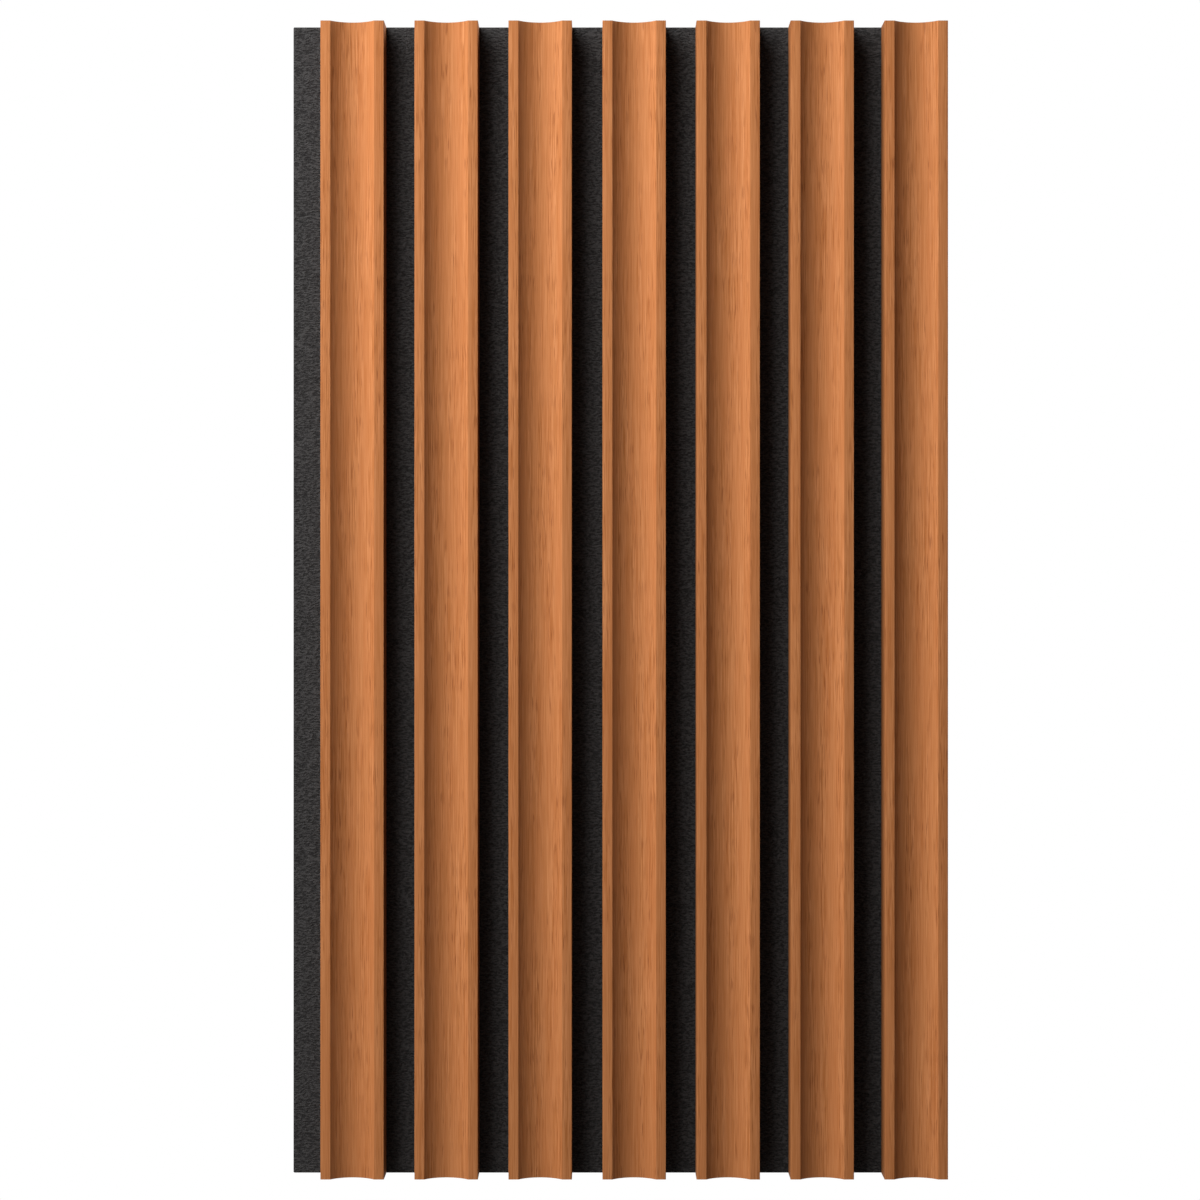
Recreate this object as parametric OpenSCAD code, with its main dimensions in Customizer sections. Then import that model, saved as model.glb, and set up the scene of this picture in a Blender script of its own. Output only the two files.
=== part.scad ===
// Acoustic slat wall panel: veneered slats with a hollow front, stapled to a sheet of felt.
// X runs across the slats, Z along them, and the slats face -Y, into the room.
// The origin is the middle of the felt's back face, which lies against the wall.

/* [Panel] */
// Length of the panel, along its slats
panel_l = 493; // [200:1:1200]
// Number of slats, side by side
slat_n = 7; // [1:1:15]
// Space between two slats, and the bare felt beside the first one
gap_w = 13; // [8:0.5:25]

/* [Felt backing] */
// Thickness of the felt sheet
felt_t = 9; // [7:0.5:12]

/* [Slats] */
// Width of a slat
slat_w = 27; // [20:0.5:45]
// Thickness of a slat, at its lands
slat_t = 12; // [9.5:0.5:20]
// Width of the flat land on each side of the hollow
land_w = 4.2; // [2.5:0.1:5]
// Depth of the hollow, below the lands
hollow_d = 3.8; // [2:0.1:4.6]
// Thickness of the veneer that wraps the front and both sides
veneer_t = 0.5; // [0.3:0.05:0.8]
// Radius of the core's front edges, under the veneer
core_edge_r = 0.2; // [0.1:0.05:0.5]

/* [Staples] */
// Number of staples along a slat
staple_n = 4; // [2:1:12]
// Distance from each end of the panel to the nearest staple
staple_end = 30; // [15:1:60]
// Width of a staple, over its legs
staple_w = 12.8; // [8:0.1:16]
// Length of a staple, from its crown to its points
staple_l = 14; // [12:0.5:16]
// Width of the staple wire, along the slat
wire_w = 0.95; // [0.7:0.05:1.3]
// Thickness of the staple wire, in the plane of the bends
wire_t = 0.65; // [0.5:0.05:0.9]
// Outer radius of the staple's two bends
bend_r = 1; // [0.95:0.05:1.5]
// Depth of the crown's back below the felt's back
crown_sink = 0.4; // [0.2:0.1:1]

/* [Hidden] */
$fn = 96;

felt_colour = "#3A3837";
core_colour = "#9C7B58";
veneer_colour = "#C58250";
steel_colour = "#B4B6B8";

// Every cut runs past the face it opens by this much
overrun = 1;

// The slats repeat at the pitch, each with its gap on the left, so panels butt in rhythm
pitch = slat_w + gap_w;
felt_w = slat_n * pitch;

// The hollow is one arc, which its chord between the lands and its depth fix
hollow_half_w = slat_w / 2 - land_w;
hollow_r = (hollow_half_w ^ 2 + hollow_d ^ 2) / (2 * hollow_d);
hollow_y = slat_t - hollow_d + hollow_r;

staple_pitch = (panel_l - 2 * staple_end) / (staple_n - 1);

// Middle of slat k, where 1 is the leftmost
function slat_x(k) = k * pitch - slat_w / 2 - felt_w / 2;

// Height of staple row i, where 0 is the lowest
function staple_z(i) = staple_end + i * staple_pitch - panel_l / 2;

// Outline of a slat that is drawn in from the wood's face by the inset. Its middle is at
// X = 0 and its face towards +Y. The back is left at back_y. The four front edges are
// small arcs, and the inner two meet both their land and the hollow without a corner.
module slat_outline(inset = 0, back_y = 0) {
    half_w = slat_w / 2 - inset;
    face_y = slat_t - inset;
    cut_r = hollow_r + inset;
    edge_r = core_edge_r + veneer_t - inset;
    edge_y = face_y - edge_r;
    outer_x = half_w - edge_r;
    rise = hollow_y - edge_y;
    inner_x = sqrt((cut_r + edge_r) ^ 2 - rise ^ 2);
    touch = [inner_x, edge_y] + [-inner_x, rise] * edge_r / (cut_r + edge_r);
    half = [[half_w, back_y], [half_w, edge_y], [outer_x, face_y], [inner_x, face_y], touch];
    last = len(half) - 1;
    difference() {
        union() {
            polygon(concat(half, [for (i = [last:-1:0]) [-half[i].x, half[i].y]]));
            for (x = [-outer_x, -inner_x, inner_x, outer_x])
                translate([x, edge_y]) circle(edge_r);
        }
        translate([0, hollow_y]) circle(cut_r);
    }
}

// Puts an outline at slat k, against the felt's front, and runs it the panel's length
module along_slat(k) {
    translate([slat_x(k), -felt_t, -panel_l / 2])
        mirror([0, 1, 0])
            linear_extrude(panel_l) children();
}

// Area under an arch with its top at Y = 0, straight sides and two round corners
module arch(width, corner_r, height) {
    corner_x = width / 2 - corner_r;
    translate([-width / 2, -height]) square([width, height - corner_r]);
    translate([-corner_x, -corner_r]) square([2 * corner_x, corner_r]);
    for (x = [-corner_x, corner_x])
        translate([x, -corner_r]) circle(corner_r);
}

// A staple seen along its wire's width: crown, two bends and two legs with chisel points
module staple_outline() {
    leg_x = staple_w / 2 - wire_t;
    difference() {
        arch(staple_w, bend_r, staple_l);
        translate([0, -wire_t]) arch(2 * leg_x, bend_r - wire_t, staple_l);
        for (side = [0, 1])
            mirror([side, 0])
                translate([leg_x, -staple_l])
                    polygon([[0, wire_t], [wire_t, 0], [wire_t, -overrun], [0, -overrun]]);
    }
}

// Runs an outline through the wire's width and sinks its top below the felt's back
module wire_wide() {
    translate([0, -crown_sink, wire_w / 2])
        mirror([0, 0, 1])
            linear_extrude(wire_w) children();
}

// Puts the children at each staple of slat k
module at_staples(k) {
    for (i = [0:staple_n - 1])
        translate([slat_x(k), 0, staple_z(i)]) children();
}

// Slot that a crown is pressed into, open at the felt's back
module crown_slot() {
    wire_wide()
        translate([-staple_w / 2, -wire_t])
            square([staple_w, wire_t + crown_sink + overrun]);
}

// Felt sheet, cut square on all edges, with the slots that the staples press into it
module felt_backing() {
    color(felt_colour)
        difference() {
            translate([-felt_w / 2, -felt_t, -panel_l / 2]) cube([felt_w, felt_t, panel_l]);
            for (k = [1:slat_n])
                at_staples(k) {
                    wire_wide() staple_outline();
                    crown_slot();
                }
        }
}

// Fibreboard core of slat k, with the holes of its staples' legs
module slat_core(k) {
    color(core_colour)
        difference() {
            along_slat(k) slat_outline(veneer_t);
            at_staples(k) wire_wide() staple_outline();
        }
}

// Veneer of slat k: one skin over the lands, the hollow and both sides
module slat_veneer(k) {
    color(veneer_colour)
        along_slat(k)
            difference() {
                slat_outline();
                slat_outline(veneer_t, -overrun);
            }
}

// All the staples, driven through the felt into the cores
module staples() {
    color(steel_colour)
        for (k = [1:slat_n])
            at_staples(k) wire_wide() staple_outline();
}

felt_backing();
for (k = [1:slat_n]) {
    slat_core(k);
    slat_veneer(k);
}
staples();
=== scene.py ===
"""Looks of an acoustic slat wall panel: veneered slats with hollow fronts on black needle felt.

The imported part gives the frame. X runs across the slats, Z along them, and the slats face -Y.
The veneers and the felt are modelled here, over the solids that they replace. The cores and the
staples keep their solids and get their finish here.
"""

from __future__ import annotations

import logging
import math
from collections.abc import Callable
from dataclasses import dataclass, field
from enum import Enum, IntEnum
from typing import Any

import bmesh
import bpy
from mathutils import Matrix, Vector

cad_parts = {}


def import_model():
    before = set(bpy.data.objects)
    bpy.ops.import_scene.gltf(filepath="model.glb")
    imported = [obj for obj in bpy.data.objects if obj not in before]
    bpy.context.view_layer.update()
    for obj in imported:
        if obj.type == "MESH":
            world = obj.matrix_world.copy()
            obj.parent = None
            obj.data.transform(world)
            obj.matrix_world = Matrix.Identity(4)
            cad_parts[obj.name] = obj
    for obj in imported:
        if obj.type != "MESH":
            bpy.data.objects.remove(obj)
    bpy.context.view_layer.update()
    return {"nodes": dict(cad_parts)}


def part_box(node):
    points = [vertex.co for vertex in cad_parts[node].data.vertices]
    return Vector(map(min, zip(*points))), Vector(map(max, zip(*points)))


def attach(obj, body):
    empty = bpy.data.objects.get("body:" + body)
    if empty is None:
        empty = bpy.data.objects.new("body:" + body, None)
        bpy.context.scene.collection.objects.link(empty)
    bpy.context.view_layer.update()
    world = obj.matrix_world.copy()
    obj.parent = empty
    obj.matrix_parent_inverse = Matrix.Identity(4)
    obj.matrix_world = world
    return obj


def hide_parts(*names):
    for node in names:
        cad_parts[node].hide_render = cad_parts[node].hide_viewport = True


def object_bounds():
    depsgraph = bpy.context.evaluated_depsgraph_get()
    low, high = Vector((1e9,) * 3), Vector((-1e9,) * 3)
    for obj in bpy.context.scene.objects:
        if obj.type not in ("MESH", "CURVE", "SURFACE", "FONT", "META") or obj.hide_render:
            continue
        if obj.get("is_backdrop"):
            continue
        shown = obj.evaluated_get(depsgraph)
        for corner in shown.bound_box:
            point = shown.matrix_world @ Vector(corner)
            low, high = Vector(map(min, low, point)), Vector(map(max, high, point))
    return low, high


LOG = logging.getLogger("slat_panel")

MM = 0.001
# Two places that are nearer than this are one place
NEAR = 0.01 * MM
# The corners of a CAD node's loose triangles meet more closely than this
WELD = 0.001 * MM
# Cuts are rounded to a micrometre, so that two that should be one are one
DIGITS = 6
# A face turned this much along an axis faces that way, and an edge this much runs that way
FACING = 0.9
STRAIGHT = 0.999
SLATS = range(1, 8)
ROOT = "root"
WHITE = (1.0, 1.0, 1.0, 1.0)


class Axis(IntEnum):
    """The panel's axes, as places in a vector."""

    X = 0
    Y = 1
    Z = 2


class Part(Enum):
    """What the editing operators select, with the bmesh list that holds it."""

    VERT = "verts"
    EDGE = "edges"
    FACE = "faces"


class Slot(Enum):
    """The record's material slots for the felt and the veneer."""

    FELT = "felt"
    VENEER = "veneer"


# Colour and nodes


def linear(hex_colour: str) -> tuple[float, float, float, float]:
    """Turns an sRGB hex colour into Blender's linear colour.

    Args:
        hex_colour: the colour as "#RRGGBB".

    Returns:
        The linear red, green and blue, and an alpha of 1.
    """
    channels = [int(hex_colour[i : i + 2], 16) / 255 for i in (1, 3, 5)]
    red, green, blue = (c / 12.92 if c <= 0.04045 else ((c + 0.055) / 1.055) ** 2.4 for c in channels)
    return red, green, blue, 1.0


def add_node(
    tree: bpy.types.NodeTree, kind: str, inputs: dict[str | int, Any] | None = None, **settings: Any
) -> bpy.types.Node:
    """Adds a shader node with its settings, and fills its inputs with values or links.

    Args:
        tree: the node tree that gets the node.
        kind: the node's type, without "ShaderNode" before it.
        inputs: a value, or an output socket to link from, for each input name or number.
        settings: the node's own attributes.

    Returns:
        The new node.
    """
    node = tree.nodes.new("ShaderNode" + kind)
    for name, value in settings.items():
        setattr(node, name, value)
    for name, value in (inputs or {}).items():
        if isinstance(value, bpy.types.NodeSocket):
            tree.links.new(value, node.inputs[name])
        else:
            node.inputs[name].default_value = value
    return node


@dataclass(frozen=True)
class Layer:
    """One layer of noise: its blots' size in millimetres along three axes, and the levels it spans."""

    size: tuple[float, float, float]
    low: float = 0.3
    high: float = 0.7
    detail: float = 2.0


@dataclass(frozen=True)
class Finish:
    """What all finishes share: a name, a shader on a new material, and layers of noise."""

    name: str

    def start(self, **shader: Any) -> tuple[bpy.types.Material, bpy.types.Node]:
        """Makes the material with a Principled shader on its output.

        Args:
            shader: the shader's values, with underscores for the spaces in their names.

        Returns:
            The material and its shader node.
        """
        material = bpy.data.materials.new(self.name)
        material.use_nodes = True
        material.node_tree.nodes.clear()
        values = {name.replace("_", " "): value for name, value in shader.items()}
        principled = add_node(material.node_tree, "BsdfPrincipled", values)
        add_node(material.node_tree, "OutputMaterial", {"Surface": principled.outputs["BSDF"]})
        return material, principled

    def wander(
        self, tree: bpy.types.NodeTree, place: bpy.types.NodeSocket, layer: Layer, reach: Any
    ) -> bpy.types.NodeSocket:
        """Shifts a place by slow noise, so that what is drawn on it wanders.

        Args:
            tree: the material's nodes.
            place: the place to shift.
            layer: the noise that shifts it.
            reach: how far it may shift each way along three axes, in millimetres.

        Returns:
            The shifted place.
        """
        scale = tuple(1 / (size * MM) for size in layer.size)
        stretched = add_node(tree, "Mapping", {"Vector": place, "Scale": scale})
        noise = {"Vector": stretched.outputs[0], "Scale": 1.0, "Detail": layer.detail}
        sway = add_node(tree, "TexNoise", noise).outputs["Color"]
        centred = add_node(tree, "VectorMath", {0: sway, 1: (0.5, 0.5, 0.5)}, operation="SUBTRACT")
        both_ways = tuple(2 * r * MM for r in reach)
        shift = add_node(tree, "VectorMath", {0: centred.outputs[0], 1: both_ways}, operation="MULTIPLY")
        return add_node(tree, "VectorMath", {0: place, 1: shift.outputs[0]}, operation="ADD").outputs[0]

    def shares(
        self, tree: bpy.types.NodeTree, place: bpy.types.NodeSocket, layers: dict[str, Layer]
    ) -> dict[str, bpy.types.NodeSocket]:
        """Draws layers of noise, each as a share from 0 to 1.

        Args:
            tree: the material's nodes.
            place: the coordinates that the layers are drawn on.
            layers: the layers by name.

        Returns:
            Each layer's share by name.
        """
        drawn = {}
        for name, layer in layers.items():
            scale = tuple(1 / (size * MM) for size in layer.size)
            stretched = add_node(tree, "Mapping", {"Vector": place, "Scale": scale})
            noise = {"Vector": stretched.outputs[0], "Scale": 1.0, "Detail": layer.detail}
            level = add_node(tree, "TexNoise", noise).outputs[0]
            span = {"Value": level, "From Min": layer.low, "From Max": layer.high}
            drawn[name] = add_node(tree, "MapRange", span, interpolation_type="SMOOTHSTEP").outputs[0]
        return drawn

    def weigh(
        self, tree: bpy.types.NodeTree, shares: dict[str, bpy.types.NodeSocket], weights: dict[str, float]
    ) -> bpy.types.NodeSocket:
        """Adds shares up by their weights.

        Args:
            tree: the material's nodes.
            shares: the shares by name.
            weights: the weight of each share that counts.

        Returns:
            The weighted sum.
        """
        total: Any = 0.0
        for name, weight in weights.items():
            terms = {0: shares[name], 1: weight, 2: total}
            total = add_node(tree, "Math", terms, operation="MULTIPLY_ADD").outputs[0]
        return total


@dataclass(frozen=True)
class OpenPoredVeneer(Finish):
    """Sliced hardwood veneer, stained warm brown under a thin matt lacquer.

    The knife leaves straight fibre along the slat. The open pores show as short dark ticks, and
    they crowd into bands a few millimetres wide. The lacquer sinks in, so the gloss stays low.
    The slat's sides carry painted shade, a darker colour, which makes the channels between the slats look
    deep.
    """

    name: str = "open_pored_veneer"
    pale: str = "#BE7F52"
    deep: str = "#9A5D30"
    rosy: str = "#A66137"
    pore: str = "#653013"
    # Painted shade on the slat's sides: this dark colour, mixed in at this share
    side: str = "#1E0F07"
    side_shade_strength: float = 0.44
    gloss: float = 0.04
    # Millimetres across the grain and along it, and the levels of the noise that count. The figure
    # and the bands are the growth rings' width in a sliced face, and an opened pore is 0.3 mm wide
    # and about 10 mm long. A wood fibre is 0.02 mm wide, which is too fine to show, so the fine
    # lines, hair and fibre, are drawn as coarse as 0.3 mm.
    meander: Layer = Layer((26.0, 190.0, 1.0), detail=1.0)
    meander_reach: tuple[float, float, float] = (1.2, 0.0, 0.0)
    layers: tuple[tuple[str, Layer], ...] = (
        ("figure", Layer((8.0, 200.0, 1.0))),
        ("blush", Layer((2.4, 60.0, 1.0))),
        ("hair", Layer((0.3, 60.0, 1.0), 0.4, 0.6, detail=0.0)),
        ("fibre", Layer((0.3, 18.0, 1.0), 0.4, 0.6, detail=0.0)),
        ("band", Layer((4.5, 110.0, 1.0), 0.38, 0.62)),
        ("tick", Layer((0.3, 10.0, 1.0), 0.56, 0.68, detail=1.0)),
    )
    fine: tuple[tuple[str, float], ...] = (("hair", 0.5), ("fibre", 0.5))
    # Between the bands the fine lines keep this share of their contrast, about an even level
    calm: float = 0.5
    even: float = 0.5
    slow: tuple[tuple[str, float], ...] = (("figure", 0.06), ("blush", 0.05))
    rose: tuple[tuple[str, float], ...] = (("figure", 0.12), ("blush", 0.2))
    pores_sparse: float = 0.1
    pores_crowded: float = 0.42
    pore_depth: float = 0.03
    sunk: tuple[tuple[str, float], ...] = (("lines", 0.6), ("pores", 0.4))
    dull: tuple[float, float] = (0.52, 0.78)

    def material(self) -> bpy.types.Material:
        """Builds the veneer on the map that follows the grain round the slat.

        Returns:
            The material.
        """
        material, shader = self.start(Specular_IOR_Level=self.gloss)
        tree = material.node_tree
        sheet = add_node(tree, "UVMap", uv_map=SlatVeneer.GRAIN_MAP).outputs["UV"]
        grain = self.wander(tree, sheet, self.meander, self.meander_reach)
        share = self.shares(tree, grain, dict(self.layers))
        busy = {"Value": share["band"], "To Min": self.calm, "To Max": 1.0}
        liveliness = add_node(tree, "MapRange", busy).outputs[0]
        lines = {0: liveliness, 2: self.even, 3: self.weigh(tree, share, dict(self.fine))}
        share["lines"] = add_node(tree, "Mix", lines).outputs[0]
        weights = {"lines": 1.0 - sum(dict(self.slow).values())} | dict(self.slow)
        tone = self.weigh(tree, share, weights)
        rosy = self.weigh(tree, share, dict(self.rose))
        crowd = {0: share["band"], 1: self.pores_crowded, 2: self.pores_sparse}
        density = add_node(tree, "Math", crowd, operation="MULTIPLY_ADD").outputs[0]
        pores = add_node(tree, "Math", {0: share["tick"], 1: density}, operation="MULTIPLY").outputs[0]
        # Painted shade: the faces marked as the slat's sides are darkened towards their dark colour
        on_side = add_node(tree, "Attribute", attribute_name=SlatVeneer.SIDE_LAYER).outputs["Fac"]
        side = add_node(tree, "Math", {0: on_side, 1: self.side_shade_strength}, operation="MULTIPLY").outputs[0]
        wood: Any = linear(self.pale)
        stains_and_shade = ((tone, self.deep), (rosy, self.rosy), (pores, self.pore), (side, self.side))
        for part, colour in stains_and_shade:
            tint = {0: part, 6: wood, 7: linear(colour)}
            wood = add_node(tree, "Mix", tint, data_type="RGBA").outputs[2]
        tree.links.new(wood, shader.inputs["Base Color"])
        # The lacquer dries duller where it has sunk into the pores and the open lines
        sunk = self.weigh(tree, {"lines": tone, "pores": pores}, dict(self.sunk))
        span = {"Value": sunk, "To Min": self.dull[0], "To Max": self.dull[1]}
        tree.links.new(add_node(tree, "MapRange", span).outputs[0], shader.inputs["Roughness"])
        raised = add_node(tree, "Math", {0: 1.0, 1: pores}, operation="SUBTRACT").outputs[0]
        bump = add_node(tree, "Bump", {"Height": raised, "Distance": self.pore_depth * MM})
        tree.links.new(bump.outputs[0], shader.inputs["Normal"])
        return material


@dataclass(frozen=True)
class NeedleFelt(Finish):
    """Needle-punched polyester felt, dyed black: coarse fibre that lies in swirls, with no gloss.

    The needles leave creases one or two millimetres long and less than a millimetre apart, which
    turn this way and that. The cut ends of the fibre scatter light at a grazing angle, as a sheen.
    """

    name: str = "needle_felt"
    pale: str = "#3D3C3C"
    deep: str = "#171616"
    gloss: float = 0.1
    sheen: float = 0.08
    sheen_roughness: float = 0.6
    swirl: Layer = Layer((7.0, 7.0, 7.0), detail=1.0)
    swirl_reach: tuple[float, float, float] = (1.2, 1.2, 1.4)
    # Millimetres along X, Y and Z. The creases have their real size. The fibre is 0.03 mm thick,
    # which is too fine to show, so its fuzz is drawn in blots as coarse as 0.5 mm.
    layers: tuple[tuple[str, Layer], ...] = (
        ("crease", Layer((1.7, 1.7, 0.66), 0.37, 0.63)),
        ("fuzz", Layer((0.5, 0.5, 0.5), 0.36, 0.64)),
    )
    tone: tuple[tuple[str, float], ...] = (("crease", 0.66), ("fuzz", 0.34))
    ripple_depth: float = 0.3
    dull: tuple[float, float] = (0.98, 0.86)

    def material(self) -> bpy.types.Material:
        """Builds the felt on Object coordinates.

        Returns:
            The material.
        """
        material, shader = self.start(
            Specular_IOR_Level=self.gloss,
            Sheen_Weight=self.sheen,
            Sheen_Roughness=self.sheen_roughness,
        )
        tree = material.node_tree
        place = add_node(tree, "TexCoord").outputs["Object"]
        swirled = self.wander(tree, place, self.swirl, self.swirl_reach)
        share = self.shares(tree, swirled, dict(self.layers))
        height = self.weigh(tree, share, dict(self.tone))
        fibre = {0: height, 6: linear(self.deep), 7: linear(self.pale)}
        colour = add_node(tree, "Mix", fibre, data_type="RGBA").outputs[2]
        tree.links.new(colour, shader.inputs["Base Color"])
        span = {"Value": height, "To Min": self.dull[0], "To Max": self.dull[1]}
        tree.links.new(add_node(tree, "MapRange", span).outputs[0], shader.inputs["Roughness"])
        bump = add_node(tree, "Bump", {"Height": height, "Distance": self.ripple_depth * MM})
        tree.links.new(bump.outputs[0], shader.inputs["Normal"])
        return material


@dataclass(frozen=True)
class RawFibreboard(Finish):
    """Sawn fibreboard, left raw: pressed wood flour, pale brown, with fine fibre ends and no gloss."""

    name: str = "raw_fibreboard"
    pale: str = "#B08D66"
    deep: str = "#8A6743"
    dull: float = 0.9
    gloss: float = 0.15
    # Millimetres along X, Y and Z. Bundles of fibre are 0.1 to 0.5 mm wide, and the grit is drawn
    # at the coarse end of that, so that it shows. The saw's marks run along X on the slats' ends.
    layers: tuple[tuple[str, Layer], ...] = (
        ("grit", Layer((0.5, 0.5, 0.5))),
        ("cloud", Layer((3.5, 3.5, 3.5))),
        ("saw", Layer((9.0, 0.7, 9.0))),
    )
    tone: tuple[tuple[str, float], ...] = (("grit", 0.6), ("cloud", 0.22), ("saw", 0.18))
    grit_depth: float = 0.05

    def material(self) -> bpy.types.Material:
        """Builds the board on Object coordinates.

        Returns:
            The material.
        """
        material, shader = self.start(Roughness=self.dull, Specular_IOR_Level=self.gloss)
        tree = material.node_tree
        place = add_node(tree, "TexCoord").outputs["Object"]
        height = self.weigh(tree, self.shares(tree, place, dict(self.layers)), dict(self.tone))
        flour = {0: height, 6: linear(self.deep), 7: linear(self.pale)}
        colour = add_node(tree, "Mix", flour, data_type="RGBA").outputs[2]
        tree.links.new(colour, shader.inputs["Base Color"])
        bump = add_node(tree, "Bump", {"Height": height, "Distance": self.grit_depth * MM})
        tree.links.new(bump.outputs[0], shader.inputs["Normal"])
        return material


@dataclass(frozen=True)
class GalvanisedWire(Finish):
    """Drawn steel wire with a zinc coat: grey, half bright, with fine lines along the draw."""

    name: str = "galvanised_wire"
    pale: str = "#AEB0B2"
    deep: str = "#797C7F"
    # Millimetres along X, Y and Z. The crowns run along X, and so do the lines that the drawing
    # die leaves. They are 0.02 mm wide, which is too fine to show, and are drawn 0.14 mm wide.
    layers: tuple[tuple[str, Layer], ...] = (
        ("line", Layer((2.5, 0.14, 0.14))),
        ("bloom", Layer((1.2, 1.2, 1.2))),
    )
    tone: tuple[tuple[str, float], ...] = (("line", 0.6), ("bloom", 0.4))
    dull: tuple[float, float] = (0.34, 0.52)

    def material(self) -> bpy.types.Material:
        """Builds the wire on Object coordinates.

        Returns:
            The material.
        """
        material, shader = self.start(Metallic=1.0)
        tree = material.node_tree
        place = add_node(tree, "TexCoord").outputs["Object"]
        level = self.weigh(tree, self.shares(tree, place, dict(self.layers)), dict(self.tone))
        zinc = {0: level, 6: linear(self.deep), 7: linear(self.pale)}
        colour = add_node(tree, "Mix", zinc, data_type="RGBA").outputs[2]
        tree.links.new(colour, shader.inputs["Base Color"])
        span = {"Value": level, "To Min": self.dull[0], "To Max": self.dull[1]}
        tree.links.new(add_node(tree, "MapRange", span).outputs[0], shader.inputs["Roughness"])
        return material


# Shaping


def deselect_all() -> None:
    """Leaves no object selected, so that an operator acts on the new one alone."""
    bpy.ops.object.select_all(action="DESELECT")


class Workpiece:
    """A mesh object on the bench, which the editing operators shape."""

    def __init__(self, obj: bpy.types.Object, name: str) -> None:
        """Names the object and its mesh.

        Args:
            obj: the mesh object.
            name: the piece's name.
        """
        self.obj = obj
        obj.name = name
        obj.data.name = name

    @classmethod
    def block(cls, name: str, low: Vector, high: Vector) -> Workpiece:
        """Adds a cube, sizes it to a box and puts its place in its mesh.

        Args:
            name: the piece's name.
            low: the box's lowest corner.
            high: the box's highest corner.

        Returns:
            The new workpiece.
        """
        deselect_all()
        bpy.ops.mesh.primitive_cube_add(size=1, location=(low + high) / 2)
        bpy.context.active_object.scale = high - low
        bpy.ops.object.transform_apply(location=True, rotation=True, scale=True)
        return cls(bpy.context.active_object, name)

    @classmethod
    def strip(cls, name: str, low: Vector, high: Vector) -> Workpiece:
        """Adds a flat strip that faces -Y, sized to a box with no depth.

        Args:
            name: the piece's name.
            low: the strip's lowest corner.
            high: the strip's highest corner.

        Returns:
            The new workpiece.
        """
        deselect_all()
        quarter = math.pi / 2
        bpy.ops.mesh.primitive_plane_add(size=1, location=(low + high) / 2, rotation=(quarter, 0, 0))
        bpy.context.active_object.scale = (high.x - low.x, high.z - low.z, 1)
        bpy.ops.object.transform_apply(location=True, rotation=True, scale=True)
        return cls(bpy.context.active_object, name)

    def take(self) -> None:
        """Selects the object alone and makes it the active one."""
        deselect_all()
        bpy.context.view_layer.objects.active = self.obj
        self.obj.select_set(True)

    def __enter__(self) -> Workpiece:
        """Puts the object in edit mode.

        Returns:
            This workpiece.
        """
        self.take()
        bpy.ops.object.mode_set(mode="EDIT")
        return self

    def __exit__(self, *_: object) -> None:
        """Leaves edit mode."""
        bpy.ops.object.mode_set(mode="OBJECT")

    def pick(self, part: Part, test: Callable[[Any], bool]) -> int:
        """Selects the faces, edges or vertices that pass a test, and nothing else.

        Args:
            part: which of the three to select.
            test: says whether an element is wanted.

        Returns:
            How many were selected.
        """
        bpy.ops.mesh.select_mode(type=part.name)
        bpy.ops.mesh.select_all(action="DESELECT")
        mesh = bmesh.from_edit_mesh(self.obj.data)
        wanted = [element for element in getattr(mesh, part.value) if test(element)]
        for element in wanted:
            element.select_set(True)
        bmesh.update_edit_mesh(self.obj.data)
        return len(wanted)

    def modify(self, kind: str, **settings: Any) -> None:
        """Adds a modifier with its settings and applies it.

        Args:
            kind: the modifier's type.
            settings: the modifier's own attributes.
        """
        modifier = self.obj.modifiers.new(kind.lower(), kind)
        for name, value in settings.items():
            setattr(modifier, name, value)
        self.take()
        bpy.ops.object.modifier_apply(modifier=modifier.name)

    def smooth(self, degrees: float) -> None:
        """Shades the object smooth, and keeps the edges that turn by more than the given degrees."""
        self.take()
        bpy.ops.object.shade_smooth_by_angle(angle=math.radians(degrees))

    def dress(self, material: bpy.types.Material) -> None:
        """Gives the object one material."""
        self.obj.data.materials.clear()
        self.obj.data.materials.append(material)


def middle(edge: bmesh.types.BMEdge) -> Vector:
    """Gives an edge's middle."""
    return (edge.verts[0].co + edge.verts[1].co) / 2


def runs_along(edge: bmesh.types.BMEdge, axis: Axis) -> bool:
    """Tells whether an edge runs along an axis."""
    way = (edge.verts[1].co - edge.verts[0].co).normalized()
    return abs(way[axis]) > STRAIGHT


def show_as(piece: bpy.types.Object, node: str) -> None:
    """Lets a piece stand for a CAD node: attaches it to the root and hides the node.

    Args:
        piece: the finished piece.
        node: the CAD node's name.
    """
    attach(piece, ROOT)
    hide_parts(node)
    LOG.info("%s replaces %s: %d faces", piece.name, node, len(piece.data.polygons))


# The panel's pieces


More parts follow.
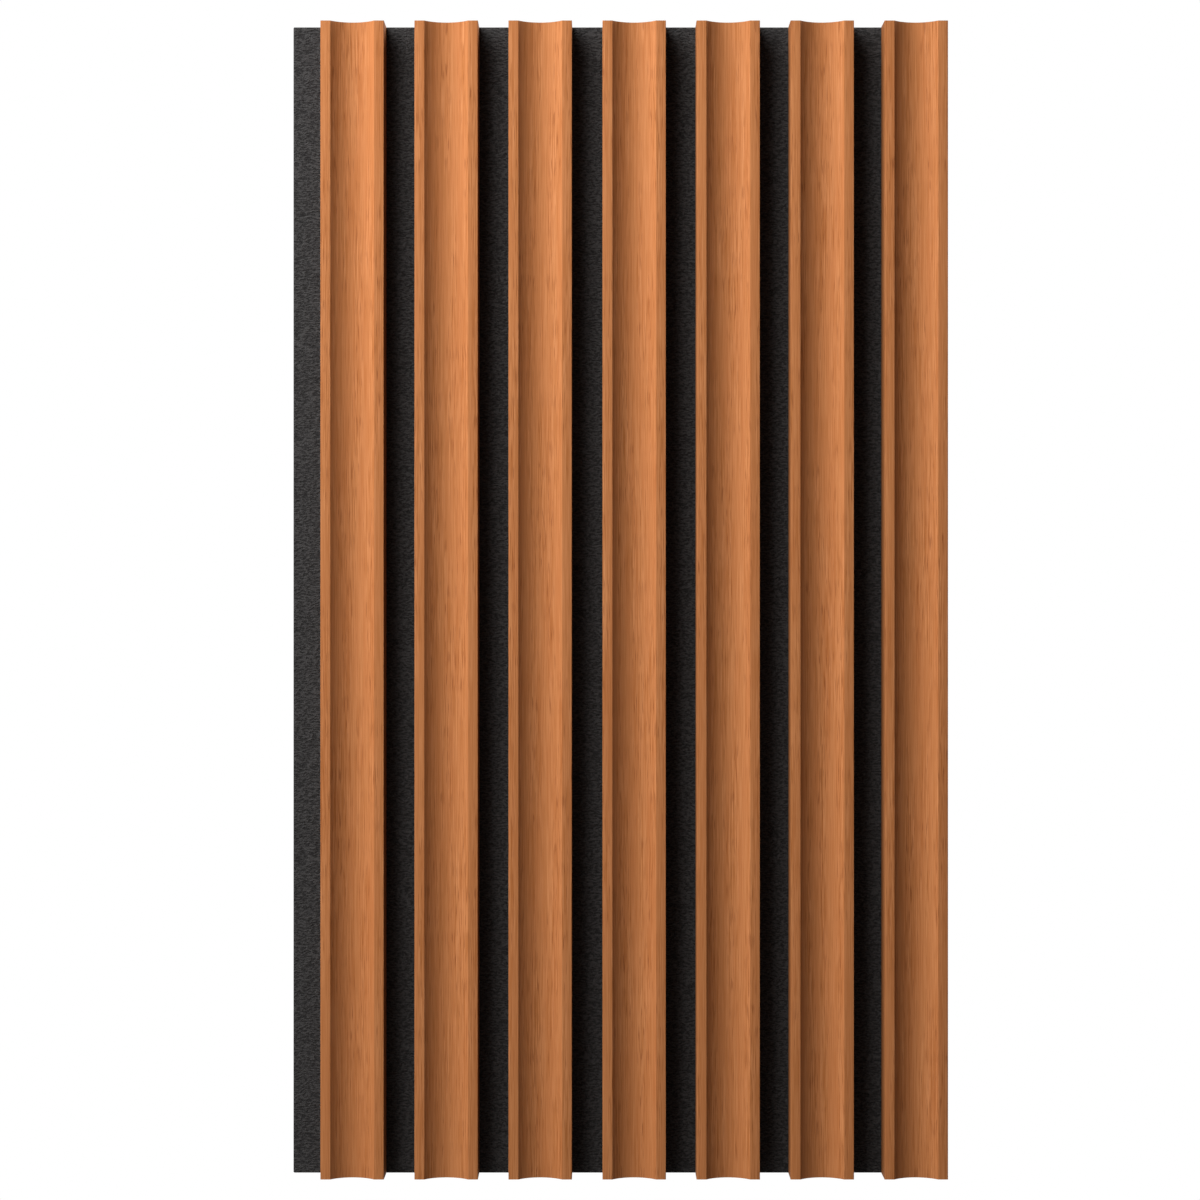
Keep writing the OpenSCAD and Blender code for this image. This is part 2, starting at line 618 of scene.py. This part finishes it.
@dataclass
class SlatVeneer:
    """The veneer of each slat: one sheet bent over the lands, the hollow and both sides."""

    GRAIN_MAP = "grain"
    SIDE_LAYER = "side"

    land: float = 4.2 * MM
    hollow_depth: float = 3.8 * MM
    skin: float = 0.5 * MM
    edge_radius: float = 0.25 * MM
    hollow_steps: int = 40
    edge_segments: int = 4
    smooth_below: float = 30.0
    # How far on each slat's veneer lies in the wood, in metres across the grain and along it
    sheet_step: tuple[float, float] = (0.083, 0.71)
    finish: OpenPoredVeneer = field(default_factory=OpenPoredVeneer)

    def build(self) -> list[bpy.types.Object]:
        """Models the first slat's veneer, then copies it to the others.

        Returns:
            The seven veneers.
        """
        material = self.finish.material()
        low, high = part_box("slat_veneer_1")
        first = self.bend(low, high)
        first.dress(material)
        pieces = []
        for k in SLATS:
            piece = first.obj if k == 1 else first.obj.copy()
            if k > 1:
                piece.data = first.obj.data.copy()
                bpy.context.scene.collection.objects.link(piece)
            pieces.append(piece)
        for k, piece in zip(SLATS, pieces):
            piece.name = piece.data.name = f"veneer_{k}"
            self.place(piece, k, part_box(f"slat_veneer_{k}")[0] - low)
            show_as(piece, f"slat_veneer_{k}")
        return pieces

    def bend(self, low: Vector, high: Vector) -> Workpiece:
        """Bends one sheet round a slat's box: land, hollow, land, then back along both sides.

        Args:
            low: the box's lowest corner.
            high: the box's highest corner.

        Returns:
            The veneer, with its thickness.
        """
        width = high.x - low.x
        half_hollow = width / 2 - self.land
        radius = (half_hollow**2 + self.hollow_depth**2) / (2 * self.hollow_depth)
        sweep = 2 * math.asin(half_hollow / radius)
        centre = Vector(((low.x + high.x) / 2, low.y + self.hollow_depth - radius, 0))
        piece = Workpiece.strip(
            "veneer", Vector((low.x, low.y, low.z)), Vector((low.x + self.land, low.y, high.z))
        )
        with piece:
            piece.pick(Part.EDGE, lambda e: runs_along(e, Axis.Z) and middle(e).x > low.x + NEAR)
            bpy.ops.mesh.spin(steps=self.hollow_steps, angle=sweep, center=centre, axis=(0, 0, 1))
            far = high.x - self.land
            piece.pick(Part.EDGE, lambda e: runs_along(e, Axis.Z) and middle(e).x > far - NEAR)
            bpy.ops.mesh.extrude_edges_move(TRANSFORM_OT_translate={"value": (self.land, 0, 0)})
            ends = (low.x + NEAR, high.x - NEAR)
            piece.pick(Part.EDGE, lambda e: runs_along(e, Axis.Z) and not ends[0] < middle(e).x < ends[1])
            bpy.ops.mesh.extrude_edges_move(TRANSFORM_OT_translate={"value": (0, high.y - low.y, 0)})
            bpy.ops.mesh.select_all(action="SELECT")
            bpy.ops.mesh.remove_doubles(threshold=NEAR)
            bpy.ops.mesh.normals_make_consistent(inside=False)
        self.face_out(piece)
        self.unroll(piece.obj)
        piece.modify("SOLIDIFY", thickness=self.skin, offset=-1.0, use_even_offset=True)
        with piece:
            self.ease(piece, low, high, sweep / 2)
        piece.smooth(self.smooth_below)
        return piece

    def ease(self, piece: Workpiece, low: Vector, high: Vector, slope: float) -> None:
        """Rounds the four front edges: two square ones, and two where a land meets the hollow.

        Args:
            piece: the sheet with its thickness, in edit mode.
            low: the slat's lowest corner.
            high: the slat's highest corner.
            slope: the angle between a land and the hollow.
        """
        bends = (
            ((low.x, high.x), self.edge_radius),
            ((low.x + self.land, high.x - self.land), self.edge_radius * math.tan(slope / 2)),
        )
        for places, offset in bends:
            piece.pick(
                Part.EDGE,
                lambda e: runs_along(e, Axis.Z)
                and abs(middle(e).y - low.y) < NEAR
                and min(abs(middle(e).x - x) for x in places) < NEAR,
            )
            bpy.ops.mesh.bevel(offset=offset, segments=self.edge_segments, affect="EDGES")

    def face_out(self, piece: Workpiece) -> None:
        """Turns the open sheet's faces towards -Y, if they face the other way.

        Args:
            piece: the open sheet.
        """
        facing = sum(face.normal.y * face.area for face in piece.obj.data.polygons)
        if facing > 0:
            with piece:
                bpy.ops.mesh.select_all(action="SELECT")
                bpy.ops.mesh.flip_normals()

    def unroll(self, obj: bpy.types.Object) -> None:
        """Lays the sheet flat in the grain map, and marks the slat's sides, which get painted shade.

        U is the way round the slat and V is Z, both in metres.

        Args:
            obj: the open sheet.
        """
        mesh = bmesh.new()
        mesh.from_mesh(obj.data)
        bottom = min(v.co.z for v in mesh.verts)
        column = [v for v in mesh.verts if v.co.z < bottom + NEAR]
        here = max(column, key=lambda v: (v.co.y, -v.co.x))
        unrolled = {here: 0.0}
        while True:
            steps = [e for e in here.link_edges if e.other_vert(here) in column]
            ahead = [e for e in steps if e.other_vert(here) not in unrolled]
            if not ahead:
                break
            there = ahead[0].other_vert(here)
            unrolled[there] = unrolled[here] + ahead[0].calc_length()
            here = there
        for vertex, way_round in list(unrolled.items()):
            upright = next(e for e in vertex.link_edges if runs_along(e, Axis.Z))
            unrolled[upright.other_vert(vertex)] = way_round
        grain = mesh.loops.layers.uv.new(self.GRAIN_MAP)
        # Marks the faces of the slat's sides, which get painted shade
        side = mesh.faces.layers.float.new(self.SIDE_LAYER)
        for face in mesh.faces:
            face[side] = float(abs(face.normal.x) > FACING)
            for loop in face.loops:
                loop[grain].uv = (unrolled[loop.vert], loop.vert.co.z)
        mesh.to_mesh(obj.data)
        mesh.free()

    def place(self, piece: bpy.types.Object, k: int, shift: Vector) -> None:
        """Moves a copy to its slat, with its own stretch of the veneer.

        Args:
            piece: the veneer.
            k: the slat's number.
            shift: how far the slat lies from the first one.
        """
        for vertex in piece.data.vertices:
            vertex.co += shift
        along = Vector((k * self.sheet_step[0], k * self.sheet_step[1]))
        for loop in piece.data.uv_layers[self.GRAIN_MAP].data:
            loop.uv += along


@dataclass
class FeltBacking:
    """The felt sheet: uneven where it shows between the slats, dented where the crowns lie."""

    cell: float = 0.9 * MM
    edge_radius: float = 0.5 * MM
    edge_segments: int = 2
    smooth_below: float = 40.0
    tuck: float = 1.0 * MM
    crown_slack: float = 0.5 * MM
    dent_reach: float = 3.6 * MM
    dent_rim: float = 0.36 * MM
    dent_depth: float = 0.9 * MM
    dent_steps: int = 5
    dent_segments: int = 6
    lump: float = 4.5 * MM
    lump_height: float = 0.14 * MM
    ripple: float = 1.7 * MM
    ripple_height: float = 0.1 * MM
    noise_depth: int = 2
    finish: NeedleFelt = field(default_factory=NeedleFelt)

    def build(self) -> bpy.types.Object:
        """Models the sheet, roughens what shows and dents its back.

        Returns:
            The felt.
        """
        low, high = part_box("felt_backing")
        piece = Workpiece.block("felt_sheet", low, high)
        strips = self.strips(low)
        with piece:
            self.dent_back(piece)
            self.round_edges(piece, low, high)
            self.mesh_strips(piece, strips, low)
        self.roughen(piece, strips, low, high)
        piece.smooth(self.smooth_below)
        piece.dress(self.finish.material())
        show_as(piece.obj, "felt_backing")
        return piece.obj

    def strips(self, low: Vector) -> list[tuple[float, float]]:
        """Measures each stretch of felt that shows, and a little of what the slats cover.

        Args:
            low: the felt's lowest corner.

        Returns:
            The left and right bound of each stretch.
        """
        bounds = []
        left = low.x + self.edge_radius
        for k in SLATS:
            slat_low, slat_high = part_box(f"slat_veneer_{k}")
            bounds.append((left, slat_low.x + self.tuck))
            left = slat_high.x - self.tuck
        return bounds

    def dent_back(self, piece: Workpiece) -> None:
        """Presses a soft dent into the felt's back round each staple's crown.

        Args:
            piece: the block, in edit mode.
        """
        crowns = crown_boxes()
        for axis, way in ((Axis.X, Vector((1, 0, 0))), (Axis.Z, Vector((0, 0, 1)))):
            cuts = {round(low[axis] - self.dent_reach, DIGITS) for low, high in crowns}
            cuts |= {round(high[axis] + self.dent_reach, DIGITS) for low, high in crowns}
            for cut in sorted(cuts):
                piece.pick(Part.FACE, lambda f: f.normal.y > FACING)
                bpy.ops.mesh.bisect(plane_co=way * cut, plane_no=way)
        middles = [(low + high) / 2 for low, high in crowns]

        def over_crown(face: bmesh.types.BMFace) -> bool:
            """Tells whether a face of the back is centred on a crown.

            Args:
                face: a face of the felt.

            Returns:
                Whether it is.
            """
            at = face.calc_center_median()
            return face.normal.y > FACING and any(
                math.hypot(at.x - mid.x, at.z - mid.z) < self.crown_slack for mid in middles
            )

        LOG.info("dents in the felt's back: %d", piece.pick(Part.FACE, over_crown))
        bpy.ops.mesh.inset(thickness=self.dent_rim, use_individual=True)
        piece.pick(Part.VERT, lambda v: any(over_crown(f) for f in v.link_faces))
        inner = self.dent_reach - self.dent_rim
        bpy.ops.mesh.bevel(offset=inner, segments=self.dent_segments, affect="VERTICES")
        piece.pick(Part.FACE, over_crown)
        # The felt curves down from its back, then levels out under the crown
        slope = [(1 - math.cos(math.pi * k / self.dent_steps)) / 2 for k in range(self.dent_steps + 1)]
        for above, below in zip(slope, slope[1:]):
            bpy.ops.mesh.inset(
                thickness=inner / (self.dent_steps + 1),
                depth=-self.dent_depth * (below - above),
                use_individual=True,
            )

    def round_edges(self, piece: Workpiece, low: Vector, high: Vector) -> None:
        """Rounds the sheet's outline a little, front and back.

        Args:
            piece: the sheet, in edit mode.
            low: the felt's lowest corner.
            high: the felt's highest corner.
        """

        def outline(edge: bmesh.types.BMEdge) -> bool:
            """Tells whether an edge lies on two of the box's sides.

            Args:
                edge: an edge of the felt.

            Returns:
                Whether it does.
            """
            at = middle(edge)
            sides = [min(at[axis] - low[axis], high[axis] - at[axis]) < NEAR for axis in Axis]
            return sum(sides) >= 2

        piece.pick(Part.EDGE, outline)
        bpy.ops.mesh.bevel(offset=self.edge_radius, segments=self.edge_segments, affect="EDGES")

    def mesh_strips(self, piece: Workpiece, strips: list[tuple[float, float]], low: Vector) -> None:
        """Cuts the front into strips, and each strip that shows into small cells.

        Args:
            piece: the sheet, in edit mode.
            strips: the left and right bound of each strip.
            low: the felt's lowest corner.
        """

        def on_front(point: Vector) -> bool:
            """Tells whether a point lies on the front face."""
            return point.y < low.y + NEAR

        for bound in sorted({round(x, DIGITS) for strip in strips for x in strip})[1:]:
            piece.pick(Part.FACE, lambda f: f.normal.y < -FACING)
            bpy.ops.mesh.bisect(plane_co=(bound, 0, 0), plane_no=(1, 0, 0))

        def beside_strip(edge: bmesh.types.BMEdge) -> bool:
            """Tells whether an edge is the long side of a strip."""
            uncut = edge.calc_length() > 2 * self.cell
            return uncut and on_front(middle(edge)) and runs_along(edge, Axis.Z)

        # One call makes 100 cuts at most, so the length is divided, and then each length again
        tall = max(e.calc_length() for e in bmesh.from_edit_mesh(piece.obj.data).edges)
        lengths = round(math.sqrt(tall / self.cell))
        for _ in range(2):
            piece.pick(Part.EDGE, beside_strip)
            bpy.ops.mesh.subdivide(number_cuts=lengths - 1)

        def across_strip(edge: bmesh.types.BMEdge) -> bool:
            """Tells whether an edge crosses a strip that shows.

            Args:
                edge: an edge of the felt.

            Returns:
                Whether it does.
            """
            at = middle(edge)
            return (
                on_front(at)
                and runs_along(edge, Axis.X)
                and any(left < at.x < right for left, right in strips)
            )

        piece.pick(Part.EDGE, across_strip)
        wide = strips[1][1] - strips[1][0]
        bpy.ops.mesh.subdivide(number_cuts=round(wide / self.cell) - 1)

    def roughen(
        self, piece: Workpiece, strips: list[tuple[float, float]], low: Vector, high: Vector
    ) -> None:
        """Gives the felt that shows its lumps and ripples.

        Args:
            piece: the sheet.
            strips: the left and right bound of each strip.
            low: the felt's lowest corner.
            high: the felt's highest corner.
        """
        nap = piece.obj.vertex_groups.new(name="nap")
        inner = self.edge_radius + NEAR
        shown = [
            v.index
            for v in piece.obj.data.vertices
            if v.co.y < low.y + NEAR
            and any(left + NEAR < v.co.x < right - NEAR for left, right in strips)
            and low.z + inner < v.co.z < high.z - inner
        ]
        nap.add(shown, 1.0, "REPLACE")
        for name, size, height in (
            ("lumps", self.lump, self.lump_height),
            ("ripples", self.ripple, self.ripple_height),
        ):
            texture = bpy.data.textures.new(f"felt_{name}", "CLOUDS")
            texture.noise_scale = size
            texture.noise_depth = self.noise_depth
            piece.modify(
                "DISPLACE",
                texture=texture,
                texture_coords="LOCAL",
                direction="Y",
                strength=height,
                mid_level=0.0,
                vertex_group=nap.name,
            )
        piece.obj.vertex_groups.clear()


def crown_boxes() -> list[tuple[Vector, Vector]]:
    """Finds each staple's crown: the box of each separate solid in the staples' node.

    Returns:
        The lowest and highest corner of each crown.
    """
    mesh = bmesh.new()
    mesh.from_mesh(bpy.data.objects["staples"].data)
    bmesh.ops.remove_doubles(mesh, verts=mesh.verts, dist=WELD)
    left = set(mesh.verts)
    boxes = []
    while left:
        group = [left.pop()]
        for vertex in group:
            for edge in vertex.link_edges:
                other = edge.other_vert(vertex)
                if other in left:
                    left.remove(other)
                    group.append(other)
        low = Vector([min(v.co[axis] for v in group) for axis in Axis])
        high = Vector([max(v.co[axis] for v in group) for axis in Axis])
        boxes.append((low, high))
    mesh.free()
    return boxes


@dataclass
class Fixings:
    """The pieces that keep their solids: the fibreboard cores and the staples."""

    board: RawFibreboard = field(default_factory=RawFibreboard)
    wire: GalvanisedWire = field(default_factory=GalvanisedWire)

    def dress(self, nodes: dict[str, bpy.types.Object]) -> None:
        """Gives the cores and the staples their finish.

        Args:
            nodes: the CAD nodes by name.
        """
        board = self.board.material()
        for k in SLATS:
            self.finish_node(nodes[f"slat_core_{k}"], board)
        self.finish_node(nodes["staples"], self.wire.material())

    def finish_node(self, node: bpy.types.Object, material: bpy.types.Material) -> None:
        """Puts a material in a CAD node's slots.

        Args:
            node: the CAD node.
            material: its finish.
        """
        for slot in node.material_slots:
            slot.material = material
        LOG.info("%s dressed as %s", node.name, material.name)


# The studio


@dataclass(frozen=True)
class Softbox:
    """A soft rectangular lamp that faces the middle of the panel, in metres and watts."""

    name: str
    place: tuple[float, float, float]
    wide: float
    tall: float
    power: float

    def hang(self) -> None:
        """Makes the lamp and turns it to the panel."""
        data = bpy.data.lights.new(self.name, "AREA")
        data.shape = "RECTANGLE"
        data.size = self.wide
        data.size_y = self.tall
        data.energy = self.power
        lamp = bpy.data.objects.new(self.name, data)
        lamp.location = self.place
        lamp.rotation_euler = (-Vector(self.place)).to_track_quat("-Z", "Y").to_euler()
        bpy.context.scene.collection.objects.link(lamp)


@dataclass
class Studio:
    """Camera, lamps, floor and backdrop, set to the photograph's view.

    The lens and the sensor are in millimetres, and all other lengths in metres.
    """

    camera_place: tuple[float, float, float] = (-8.06 * MM, -1049.3 * MM, 0.0)
    lens: float = 72.53
    sensor: float = 36.0
    key: Softbox = Softbox("key", (-0.7116, -0.6407, 0.8035), 1.0, 1.1, 36.0)
    back: Softbox = Softbox("back", (1.25, 0.95, 0.9), 1.2, 1.2, 52.0)
    fill_strength: float = 0.012
    floor_drop: float = 0.2
    floor_radius: float = 3.0
    floor_sides: int = 96
    floor_clear: tuple[float, float] = (0.45, 0.75)
    floor_pale: str = "#C6C5C4"
    floor_bounce: str = "#5C5B5A"

    def build(self) -> None:
        """Sets up the view, the light and the floor."""
        self.camera()
        self.key.hang()
        self.back.hang()
        self.backdrop()
        self.floor()
        bpy.context.scene.view_settings.view_transform = "Standard"

    def camera(self) -> None:
        """Puts the camera straight in front, a little left of the panel's middle."""
        data = bpy.data.cameras.new("camera")
        data.lens = self.lens
        data.sensor_width = self.sensor
        camera = bpy.data.objects.new("camera", data)
        camera.location = self.camera_place
        camera.rotation_euler = (math.pi / 2, 0, 0)
        bpy.context.scene.collection.objects.link(camera)
        bpy.context.scene.camera = camera

    def backdrop(self) -> None:
        """Makes the world white to the camera, and a softer fill light to the panel."""
        world = bpy.data.worlds.new("studio")
        bpy.context.scene.world = world
        world.use_nodes = True
        tree = world.node_tree
        tree.nodes.clear()
        seen = self.seen_directly(tree)
        fill = add_node(tree, "Background", {"Color": WHITE, "Strength": self.fill_strength})
        white = add_node(tree, "Background", {"Color": WHITE, "Strength": 1.0})
        mixed = add_node(tree, "MixShader", {0: seen, 1: fill.outputs[0], 2: white.outputs[0]})
        add_node(tree, "OutputWorld", {"Surface": mixed.outputs[0]})

    def seen_directly(self, tree: bpy.types.NodeTree) -> bpy.types.NodeSocket:
        """Gives 1 to rays from the camera, off gloss and through glass, and 0 to the others.

        Args:
            tree: the nodes of the world or of a material.

        Returns:
            The output that gives it.
        """
        path = add_node(tree, "LightPath").outputs
        pair = {0: path["Is Camera Ray"], 1: path["Is Glossy Ray"]}
        first = add_node(tree, "Math", pair, operation="MAXIMUM")
        both = {0: first.outputs[0], 1: path["Is Transmission Ray"]}
        return add_node(tree, "Math", both, operation="MAXIMUM").outputs[0]

    def floor(self) -> None:
        """Lays a pale floor under the hung panel, which fades to plain white further out."""
        low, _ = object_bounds()
        deselect_all()
        bpy.ops.mesh.primitive_circle_add(
            vertices=self.floor_sides,
            radius=self.floor_radius,
            fill_type="NGON",
            location=(0, 0, low.z - self.floor_drop),
        )
        floor = bpy.context.active_object
        floor.name = "floor"
        material = bpy.data.materials.new("studio_floor")
        material.use_nodes = True
        tree = material.node_tree
        tree.nodes.clear()
        place = add_node(tree, "TexCoord").outputs["Object"]
        distance = add_node(tree, "VectorMath", {0: place}, operation="LENGTH").outputs["Value"]
        near, far = self.floor_clear
        levels = {"Value": distance, "From Min": near, "From Max": far}
        fade = add_node(tree, "MapRange", levels, interpolation_type="SMOOTHSTEP").outputs[0]
        seen = self.seen_directly(tree)
        white_share = add_node(tree, "Math", {0: fade, 1: seen}, operation="MULTIPLY").outputs[0]
        # The floor looks pale, but it throws little light up at the panel, which hangs clear of it
        tones = {0: seen, 6: linear(self.floor_bounce), 7: linear(self.floor_pale)}
        tone = add_node(tree, "Mix", tones, data_type="RGBA").outputs[2]
        matt = add_node(tree, "BsdfDiffuse", {"Color": tone})
        white = add_node(tree, "Emission", {"Color": WHITE, "Strength": 1.0})
        mixed = add_node(tree, "MixShader", {0: white_share, 1: matt.outputs[0], 2: white.outputs[0]})
        add_node(tree, "OutputMaterial", {"Surface": mixed.outputs[0]})
        floor.data.materials.append(material)
        floor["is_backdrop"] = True


def main() -> None:
    """Loads the panel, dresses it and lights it."""
    logging.basicConfig(level=logging.INFO, format="%(name)s: %(message)s")
    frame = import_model()
    SlatVeneer().build()
    FeltBacking().build()
    Fixings().dress(frame["nodes"])
    Studio().build()


if __name__ == "__main__":
    main()
